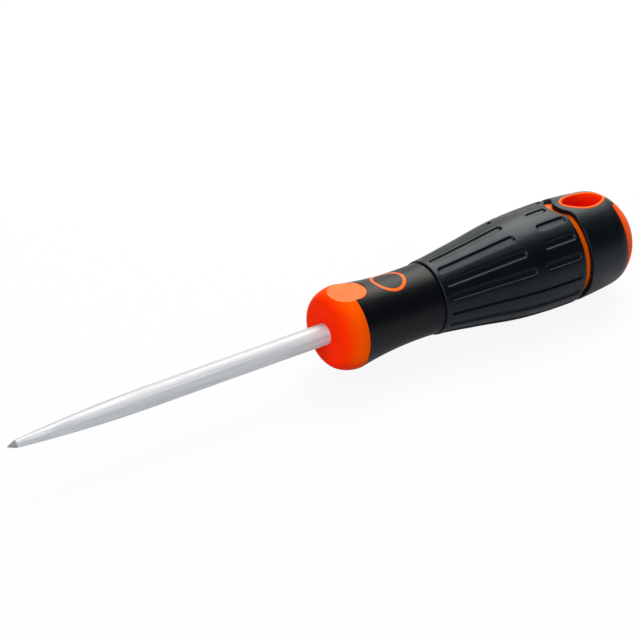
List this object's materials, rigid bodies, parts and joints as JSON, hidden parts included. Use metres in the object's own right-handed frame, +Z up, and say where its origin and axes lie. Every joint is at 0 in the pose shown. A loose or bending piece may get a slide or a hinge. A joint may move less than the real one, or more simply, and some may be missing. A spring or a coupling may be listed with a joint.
{
  "type": "bradawl",
  "caption": "Bradawl with a round tapered steel blade moulded into a waisted handle with soft grooved sleeves and an oval hang hole.",
  "frame": {"origin": "on the tool's axis where the blade leaves the handle's nose", "axes": "+X along the handle away from the blade's tip, +Z up through the hang hole, towards the flat on the nose"},
  "size_m": [0.2031, 0.03, 0.03],
  "materials": {
    "steel": "satin ground",
    "orange_plastic": "semi-gloss moulded",
    "neck_black": "fine matt moulded",
    "grip_black": "soft matt moulded"
  },
  "bodies": {
    "root": {"blade": "steel", "handle_core": "orange_plastic", "neck_sleeve": "neck_black", "thumb_pad": "neck_black", "grip_sleeve": "grip_black", "rear_sleeve": "grip_black", "hang_eyelet": "orange_plastic", "end_cap": "orange_plastic"}
  },
  "joints": []
}
